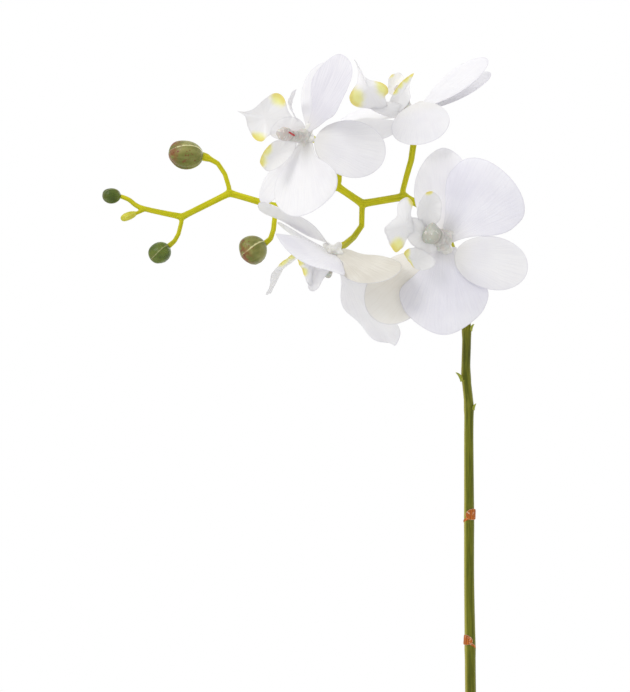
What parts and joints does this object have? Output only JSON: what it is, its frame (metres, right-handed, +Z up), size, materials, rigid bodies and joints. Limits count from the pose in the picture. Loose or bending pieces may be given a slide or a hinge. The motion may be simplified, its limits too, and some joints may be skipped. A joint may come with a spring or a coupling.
{
  "type": "potted orchid",
  "caption": "Potted white moth orchid: a plain tapered pot of bark, broad arching leaves and one tall stem that bends over in a spray of flowers and buds.",
  "frame": {"origin": "centre of the pot's flat foot, on the surface that it stands on", "axes": "+Z up, along the pot's axis; the flower spray bends over to -X; the flowers face -Y, the front"},
  "size_m": [0.3814, 0.1708, 0.5917],
  "materials": {
    "pot_glaze": "plain satin glaze",
    "bark_brown": "rough chips",
    "crown_green": "smooth, slightly waxy",
    "leaf_green": "thick and waxy",
    "root_grey": "matt silver-green skin",
    "spike_green": "smooth, slightly glossy",
    "bract_brown": "dry and papery",
    "bud_green": "smooth, slightly glossy",
    "tepal_white": "thin, soft and a little translucent",
    "lip_white": "thin and waxy, with yellow edges",
    "column_grey": "smooth and waxy"
  },
  "bodies": {
    "root": {"pot": "pot_glaze", "potting_bark": "bark_brown", "crown": "crown_green", "leaf_1": "leaf_green", "leaf_2": "leaf_green", "leaf_3": "leaf_green", "leaf_4": "leaf_green", "leaf_5": "leaf_green", "root_1": "root_grey", "root_2": "root_grey", "root_3": "root_grey", "flower_spike": "spike_green", "bract_1": "bract_brown", "bract_2": "bract_brown", "bract_3": "bract_brown", "bract_4": "spike_green", "bract_5": "spike_green", "bract_6": "spike_green", "pedicel_1": "spike_green", "pedicel_2": "spike_green", "pedicel_3": "spike_green", "pedicel_4": "spike_green", "pedicel_5": "spike_green", "pedicel_6": "spike_green", "pedicel_7": "spike_green", "bud_1": "bud_green", "bud_2": "bud_green", "bud_3": "bud_green", "bud_4": "bud_green", "bud_5": "bud_green", "flower_1_dorsal_sepal": "tepal_white", "flower_1_left_petal": "tepal_white", "flower_1_right_petal": "tepal_white", "flower_1_left_sepal": "tepal_white", "flower_1_right_sepal": "tepal_white", "flower_1_lip": "lip_white", "flower_1_column": "column_grey", "flower_2_dorsal_sepal": "tepal_white", "flower_2_left_petal": "tepal_white", "flower_2_right_petal": "tepal_white", "flower_2_left_sepal": "tepal_white", "flower_2_right_sepal": "tepal_white", "flower_2_lip": "lip_white", "flower_2_column": "column_grey", "flower_3_dorsal_sepal": "tepal_white", "flower_3_left_petal": "tepal_white", "flower_3_right_petal": "tepal_white", "flower_3_left_sepal": "tepal_white", "flower_3_right_sepal": "tepal_white", "flower_3_lip": "lip_white", "flower_3_column": "column_grey", "flower_4_dorsal_sepal": "tepal_white", "flower_4_left_petal": "tepal_white", "flower_4_right_petal": "tepal_white", "flower_4_left_sepal": "tepal_white", "flower_4_right_sepal": "tepal_white", "flower_4_lip": "lip_white", "flower_4_column": "column_grey"}
  },
  "joints": []
}
